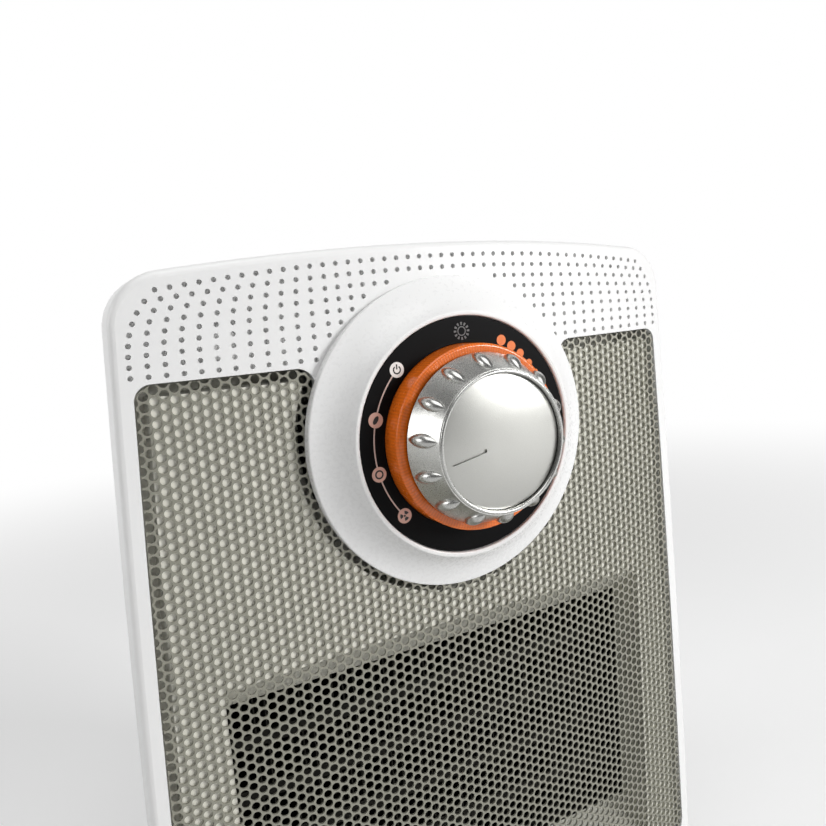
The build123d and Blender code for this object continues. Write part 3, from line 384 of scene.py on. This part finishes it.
def printed_ink(name, tone):
    """Thin printed ink with slightly uneven cover."""
    finish = Finish(name)
    cover = finish.noise(1800.0, 3.0, 0.6)
    finish.surface(
        Base_Color=finish.mix(cover, scaled(tone, 0.88), scaled(tone, 1.08)),
        Roughness=0.35 + (cover - 0.5) * 0.1,
    )
    return finish.material


def lamp_glass(name):
    """Small tinted glow lamp."""
    finish = Finish(name)
    haze = finish.noise(400.0)
    finish.surface(
        Base_Color=finish.mix(haze, color(0.75, 0.25, 0.06), color(0.95, 0.45, 0.15)),
        Roughness=0.08 + haze * 0.08,
        Coat_Weight=0.5,
    )
    return finish.material


finishes = {
    "panel_white": moulded_plastic("panel_white", color(0.83, 0.83, 0.825), 0.34),
    "bezel_white": moulded_plastic("bezel_white", color(0.83, 0.83, 0.825), 0.28, 0),
    "housing_white": moulded_plastic("housing_white", color(0.80, 0.80, 0.79), 0.45, 0.05 * MM, 420.0),
    "grille_white": moulded_plastic("grille_white", color(0.78, 0.78, 0.77), 0.42, 0.04 * MM, 420.0),
    "base_white": moulded_plastic("base_white", color(0.76, 0.76, 0.75), 0.48, 0.05 * MM, 420.0),
    "mesh_metal": sheet_paint("mesh_metal", color(0.30, 0.295, 0.245)),
    "baffle_plastic": moulded_plastic("baffle_plastic", color(0.86, 0.845, 0.76), 0.50, 0.04 * MM, 500.0),
    "dial_black": moulded_plastic("dial_black", color(0.003, 0.003, 0.0033), 0.45, 0, shine=0.08),
    "light_orange": ribbed_plastic("light_orange", color(0.80, 0.160, 0.012)),
    "knob_silver": bright_metal("knob_silver", color(0.58, 0.58, 0.56), 0.28, 3000.0, 0.007 * MM),
    "cap_silver": bright_metal("cap_silver", color(0.50, 0.50, 0.475), 0.31, 3600.0, 0.05 * MM),
    "shaft_brass": bright_metal("shaft_brass", color(0.72, 0.56, 0.28), 0.30, 900.0, 0.01 * MM, (8, 1, 8)),
    "switch_plastic": moulded_plastic("switch_plastic", color(0.035, 0.035, 0.038), 0.45, 0.04 * MM),
    "zinc_steel": bright_metal("zinc_steel", color(0.62, 0.63, 0.66), 0.30, 700.0),
    "thermostat_steel": bright_metal("thermostat_steel", color(0.58, 0.58, 0.57), 0.28, 500.0),
    "lamp_glass": lamp_glass("lamp_glass"),
    "frame_plastic": moulded_plastic("frame_plastic", color(0.012, 0.011, 0.010), 0.6, 0.05 * MM, shine=0.2),
    # Fins and bars: aluminium given a near-black tone, painted shade for the dark heater window behind the
    # sheet
    "fin_aluminium": bright_metal("fin_aluminium", color(0.035, 0.034, 0.030), 0.55, 500.0),
    "bar_aluminium": bright_metal("bar_aluminium", color(0.030, 0.029, 0.026), 0.55, 400.0),
    "terminal_brass": bright_metal("terminal_brass", color(0.75, 0.62, 0.34), 0.32, 700.0),
    "cutout_steel": bright_metal("cutout_steel", color(0.66, 0.66, 0.66), 0.26, 500.0),
    "duct_plastic": moulded_plastic("duct_plastic", color(0.12, 0.12, 0.12), 0.5, 0.05 * MM),
    "fan_plastic": moulded_plastic("fan_plastic", color(0.05, 0.05, 0.052), 0.42, 0.03 * MM),
    "clip_steel": bright_metal("clip_steel", color(0.40, 0.40, 0.43), 0.25, 600.0),
    "shaft_steel": bright_metal("shaft_steel", color(0.60, 0.60, 0.61), 0.18, 900.0, 0.005 * MM, (6, 1, 6)),
    "mount_plastic": moulded_plastic("mount_plastic", color(0.09, 0.09, 0.09), 0.5, 0.05 * MM),
    "bracket_steel": bright_metal("bracket_steel", color(0.58, 0.59, 0.62), 0.32, 400.0),
    "core_steel": laminated_steel("core_steel"),
    "coil_tape": wound_tape("coil_tape"),
    "rotor_steel": laminated_steel("rotor_steel"),
    "filter_cloth": filter_cloth("filter_cloth"),
    "foot_rubber": moulded_rubber("foot_rubber", color(0.03, 0.03, 0.03)),
    "plunger_plastic": moulded_plastic("plunger_plastic", color(0.60, 0.05, 0.03), 0.4),
    "gland_rubber": moulded_rubber("gland_rubber", color(0.55, 0.55, 0.54)),
    "block_plastic": moulded_plastic("block_plastic", color(0.70, 0.70, 0.66), 0.5),
}
mark_salmon = printed_ink("mark_salmon", color(0.70, 0.42, 0.34))
mark_white = printed_ink("mark_white", color(0.85, 0.83, 0.80))
mark_pale = printed_ink("mark_pale", color(0.62, 0.47, 0.42))
mark_orange = printed_ink("mark_orange", color(0.80, 0.20, 0.03))
mark_grey = printed_ink("mark_grey", color(0.13, 0.13, 0.13))
mark_black = printed_ink("mark_black", color(0.012, 0.012, 0.012))

for row in frame["record"]["subparts"]:
    frame["nodes"][row["node"]].data.materials[0] = finishes[row["material_slot"]]


def add_piece(name, shape, material, body):
    """Makes a piece of a bmesh, at the origin, that rides on a body."""
    mesh = bpy.data.meshes.new(name)
    shape.to_mesh(mesh)
    shape.free()
    mesh.materials.append(material)
    piece = bpy.data.objects.new(name, mesh)
    bpy.context.scene.collection.objects.link(piece)
    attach(piece, body)
    return piece


# Perforated sheet
def circle_through(first, second, third):
    """Centre and radius of the circle through three points."""
    (ax, az), (bx, bz), (cx, cz) = first, second, third
    twice = 2 * (ax * (bz - cz) + bx * (cz - az) + cx * (az - bz))
    a, b, c = ax**2 + az**2, bx**2 + bz**2, cx**2 + cz**2
    x = (a * (bz - cz) + b * (cz - az) + c * (az - bz)) / twice
    z = (a * (cx - bx) + b * (ax - cx) + c * (bx - ax)) / twice
    return x, z, hypot(ax - x, az - z)


side_x, side_z, side_radius = circle_through(*sheet_side_points)


def round_corner(first, second, turn, radius):
    """Distance inside two edges, whose inward normals' cosine is turn, with a round corner."""
    a, b = radius - first, radius - second
    if a - turn * b <= 0 or b - turn * a <= 0:
        return min(first, second)
    return radius - sqrt((a**2 + b**2 - 2 * a * b * turn) / (1 - turn**2))


def inside_sheet(x, z):
    """Distance inside the sheet's outline, negative outside."""
    x = abs(x)
    side = side_radius - sheet_side_inset - hypot(x - side_x, z - side_z)
    from_dial = hypot(x, z - dial_z)
    dial = from_dial - sheet_dial_radius
    top = sheet_top - z
    bottom = z - sheet_bottom
    outer = round_corner(top, side, 0.0, sheet_outer_corner)
    low = round_corner(bottom, side, 0.0, sheet_low_corner)
    inner = dial
    if z > dial_z:
        inner = round_corner(top, dial, (dial_z - z) / from_dial, sheet_inner_corner)
    return min(outer, low, inner)


def drawn_inside(x, z):
    """The point itself, or the nearest point of the outline when it lies outside."""
    step = slope_step
    for _ in range(drawing_rounds):
        inside = inside_sheet(x, z)
        if inside >= 0:
            break
        slope_x = (inside_sheet(x + step, z) - inside_sheet(x - step, z)) / (2 * step)
        slope_z = (inside_sheet(x, z + step) - inside_sheet(x, z - step)) / (2 * step)
        steepness = slope_x**2 + slope_z**2
        if steepness < least_steepness:
            break
        x -= inside * slope_x / steepness
        z -= inside * slope_z / steepness
    return x, z


def repeat(shape, step, count):
    """Repeats everything in a shape along a step."""
    everything = shape.verts[:] + shape.edges[:] + shape.faces[:]
    bmesh.ops.spin(
        shape, geom=everything, cent=(0, 0, 0), axis=(0, 1, 0), dvec=step, angle=0,
        steps=count - 1, use_duplicate=True,
    )


def flat_lattice():
    """All cells of the sheet, each a hexagon with a round hole, flat at Y 0 and facing the front."""
    shape = bmesh.new()
    upright = Matrix.Translation((lattice_x, 0, lattice_z)) @ Matrix.Rotation(pi / 2, 4, "X")
    quarter = Matrix.Rotation(pi / 2, 4, "Z")
    bmesh.ops.create_circle(
        shape, radius=hole_pitch / sqrt(3), segments=hole_sides // 2, matrix=upright @ quarter
    )
    bmesh.ops.subdivide_edges(shape, edges=shape.edges[:], cuts=1)
    bmesh.ops.create_circle(shape, radius=hole_radius, segments=hole_sides, matrix=upright @ quarter)
    bmesh.ops.bridge_loops(shape, edges=shape.edges[:])
    repeat(shape, (0, 0, -hole_pitch), lattice_rows)
    column = bmesh.ops.duplicate(shape, geom=shape.verts[:] + shape.edges[:] + shape.faces[:])
    shifted = [item for item in column["geom"] if isinstance(item, bmesh.types.BMVert)]
    bmesh.ops.translate(shape, verts=shifted, vec=(column_pitch, 0, -hole_pitch / 2))
    repeat(shape, (2 * column_pitch, 0, 0), lattice_column_pairs)
    bmesh.ops.remove_doubles(shape, verts=shape.verts[:], dist=joined_within)
    return shape


def half_sheet(name, side):
    """The sheet on one side of its middle, trimmed to its outline, thickened and bent."""
    shape = flat_lattice()
    outside = {v for v in shape.verts if inside_sheet(v.co.x, v.co.z) < 0}
    spare = [
        face for face in shape.faces
        if side * face.calc_center_median().x < 0 or all(v in outside for v in face.verts)
    ]
    bmesh.ops.delete(shape, geom=spare, context="FACES")
    for vertex in shape.verts:
        if inside_sheet(vertex.co.x, vertex.co.z) < 0:
            vertex.co.x, vertex.co.z = drawn_inside(vertex.co.x, vertex.co.z)
    bmesh.ops.dissolve_degenerate(shape, edges=shape.edges[:], dist=thinnest_edge)
    thick = bmesh.ops.extrude_face_region(shape, geom=shape.faces[:], use_keep_orig=True)
    back = [item for item in thick["geom"] if isinstance(item, bmesh.types.BMVert)]
    bmesh.ops.translate(shape, verts=back, vec=(0, sheet_thickness, 0))
    bmesh.ops.recalc_face_normals(shape, faces=shape.faces[:])
    for vertex in shape.verts:
        bend = face_radius - sqrt(face_radius**2 - vertex.co.x**2)
        vertex.co.y += face_y + sheet_recess + bend
    return add_piece(name, shape, finishes["mesh_metal"], "casing")


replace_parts(half_sheet("mesh_left", -1), "mesh_grille")
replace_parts(half_sheet("mesh_right", 1), "mesh_grille")


# Dial marks, all printed
def dial_point(clock, radius):
    """A point on the dial, by its angle clockwise from the top and its distance from the middle."""
    return Vector((radius * sin(radians(clock)), 0, dial_z + radius * cos(radians(clock))))


def add_disc(shape, centre, radius, sides=32):
    """A flat disc on the dial's face, its vertices."""
    facing = Matrix.Translation(centre) @ Matrix.Rotation(pi / 2, 4, "X")
    disc = bmesh.ops.create_circle(shape, cap_ends=True, radius=radius, segments=sides, matrix=facing)
    return disc["verts"]


def add_arc(shape, centre, inner, outer, start, sweep, steps):
    """A flat strip round a centre, its angles clockwise from the top."""
    outward = Vector((sin(radians(start)), 0, cos(radians(start))))
    ends = [shape.verts.new(centre + outward * reach) for reach in (inner, outer)]
    edge = shape.edges.new(ends)
    bmesh.ops.spin(
        shape, geom=[*ends, edge], cent=centre, axis=(0, 1, 0), angle=radians(sweep), steps=steps,
        use_merge=sweep == full_turn,
    )


def print_mark(name, shape, ink, lift):
    """Gives flat ink its thickness on the dial and adds it as a piece."""
    cover = bmesh.ops.extrude_face_region(shape, geom=shape.faces[:], use_keep_orig=True)
    back = [item for item in cover["geom"] if isinstance(item, bmesh.types.BMVert)]
    bmesh.ops.translate(shape, verts=back, vec=(0, lift + mark_sink, 0))
    bmesh.ops.translate(shape, verts=shape.verts[:], vec=(0, dial_y - lift, 0))
    bmesh.ops.recalc_face_normals(shape, faces=shape.faces[:])
    add_piece(name, shape, ink, "casing")


fan_clock, stop_clock, leaf_clock, power_clock = mark_clocks
for number, clock in enumerate(mark_clocks):
    spot = bmesh.new()
    add_disc(spot, dial_point(clock, mark_radius), spot_radius)
    ink = mark_white if clock == power_clock else mark_salmon
    print_mark(f"mark_spot_{number + 1}", spot, ink, mark_lift)

line = bmesh.new()
spot_angle = degrees(spot_radius / mark_radius)
for low, high in zip(mark_clocks, mark_clocks[1:]):
    add_arc(
        line, dial_point(0, 0), mark_radius - line_width / 2, mark_radius + line_width / 2,
        low + spot_angle, high - low - 2 * spot_angle, 16,
    )
print_mark("mark_line", line, mark_pale, mark_lift)

fan = bmesh.new()
fan_middle = dial_point(fan_clock, mark_radius)
add_disc(fan, fan_middle, fan_hub_radius, 16)
for turn in (0, 120, 240):
    add_arc(fan, fan_middle, fan_blade_inner, fan_blade_outer, turn, fan_blade_sweep, 8)
print_mark("mark_fan", fan, mark_black, symbol_lift)

stop = bmesh.new()
add_arc(stop, dial_point(stop_clock, mark_radius), stop_inner, stop_outer, 0, full_turn, 32)
print_mark("mark_stop", stop, mark_black, symbol_lift)

leaf = bmesh.new()
leaf_middle = dial_point(leaf_clock, mark_radius)
blade = add_disc(leaf, leaf_middle, leaf_half_length)
bmesh.ops.scale(leaf, verts=blade, vec=(leaf_slimness, 1, 1), space=Matrix.Translation(-leaf_middle))
lean = Matrix.Rotation(radians(leaf_lean), 4, "Y")
bmesh.ops.rotate(leaf, verts=blade, cent=leaf_middle, matrix=lean)
print_mark("mark_leaf", leaf, mark_black, symbol_lift)

power = bmesh.new()
power_middle = dial_point(power_clock, mark_radius)
add_arc(power, power_middle, power_inner, power_outer, power_gap / 2, full_turn - power_gap, 28)
bar_middle = power_middle + Vector((0, 0, power_bar_rise))
bar_place = Matrix.Translation(bar_middle) @ Matrix.Rotation(pi / 2, 4, "X")
bar_size = Matrix.Diagonal((power_bar_half_width, power_bar_half_height, 1, 1))
bmesh.ops.create_grid(power, x_segments=1, y_segments=1, size=1.0, matrix=bar_place @ bar_size)
print_mark("mark_power", power, mark_black, symbol_lift)

sun = bmesh.new()
sun_middle = dial_point(sun_clock, mark_radius)
for ray in range(sun_rays):
    start = ray * full_turn / sun_rays - sun_ray_sweep / 2
    add_arc(sun, sun_middle, sun_ray_inner, sun_ray_outer, start, sun_ray_sweep, 2)
add_arc(sun, sun_middle, sun_ring_inner, sun_ring_outer, 0, full_turn, 24)
print_mark("mark_sun", sun, mark_grey, mark_lift)

for number, (clock, radius) in enumerate(heat_dots):
    dot = bmesh.new()
    add_disc(dot, dial_point(clock, dot_ring), radius, 24)
    print_mark(f"mark_heat_{number + 1}", dot, mark_orange, mark_lift)


# Camera
camera_data = bpy.data.cameras.new("camera")
camera_data.sensor_width = sensor_width
camera_data.lens = focal_pixels * sensor_width / image_size
camera_data.clip_start = camera_near
camera = bpy.data.objects.new("camera", camera_data)
bpy.context.scene.collection.objects.link(camera)
camera_place = Vector((camera_x, face_y - camera_before_face, camera_z))
forward = camera_forward.normalized()
right = forward.cross(-camera_down).normalized()
up = right.cross(forward)
camera.matrix_world = Matrix.Translation(camera_place) @ Matrix((right, up, -forward)).transposed().to_4x4()
bpy.context.scene.camera = camera


# Floor, backdrop and light
stage_shape = bmesh.new()
bmesh.ops.create_grid(stage_shape, x_segments=1, y_segments=1, size=floor_half_width)
stage_mesh = bpy.data.meshes.new("floor")
stage_shape.to_mesh(stage_mesh)
stage_shape.free()
floor = bpy.data.objects.new("floor", stage_mesh)
floor_finish = Finish("floor_white")
floor_finish.surface(Base_Color=color(floor_tone, floor_tone, floor_tone), Roughness=0.9)
lit_floor = Signal(floor_finish, floor_finish.shader.outputs[0])
glow = floor_finish.node("ShaderNodeEmission", None, {"Strength": floor_glow})
raised_floor = floor_finish.node("ShaderNodeAddShader", None, {0: lit_floor, 1: glow})
white = floor_finish.node("ShaderNodeEmission", None, {"Strength": 1.0})
floor_place = floor_finish.place()
distance = floor_finish.node("ShaderNodeVectorMath", {"operation": "LENGTH"}, {0: floor_place}, "Value")
far = floor_finish.fade(distance, fade_start, fade_end)
behind = floor_finish.fade(floor_finish.along("Y", floor_place), 0, floor_behind)
shown_floor = floor_finish.node("ShaderNodeMixShader", None, {0: far, 1: raised_floor, 2: white})
floor_finish.seen_as(lit_floor, shown_floor, behind)
floor.data.materials.append(floor_finish.material)
bpy.context.scene.collection.objects.link(floor)

studio = Finish("studio", bpy.data.worlds)
bpy.context.scene.world = studio.material
dim = studio.node("ShaderNodeBackground", None, {"Color": color(1, 1, 1), "Strength": world_level})
bright = studio.node("ShaderNodeBackground", None, {"Color": color(1, 1, 1), "Strength": 1.0})
backward = studio.along("Y", studio.node("ShaderNodeTexCoord", output="Generated"))
studio.seen_as(dim, bright, studio.fade(backward, backdrop_start, backdrop_end))


def add_lamp(name, place, target, size, power):
    """A square softbox that looks at a point."""
    data = bpy.data.lights.new(name, "AREA")
    data.shape = "SQUARE"
    data.size = size
    data.energy = power
    lamp = bpy.data.objects.new(name, data)
    bpy.context.scene.collection.objects.link(lamp)
    aim = (Vector(target) - Vector(place)).to_track_quat("-Z", "Y")
    lamp.matrix_world = Matrix.Translation(place) @ aim.to_matrix().to_4x4()


for name, (place, size, power) in softboxes.items():
    add_lamp(name, place, (0, dial_y, dial_z), size, power)

bpy.context.scene.view_settings.view_transform = "Standard"
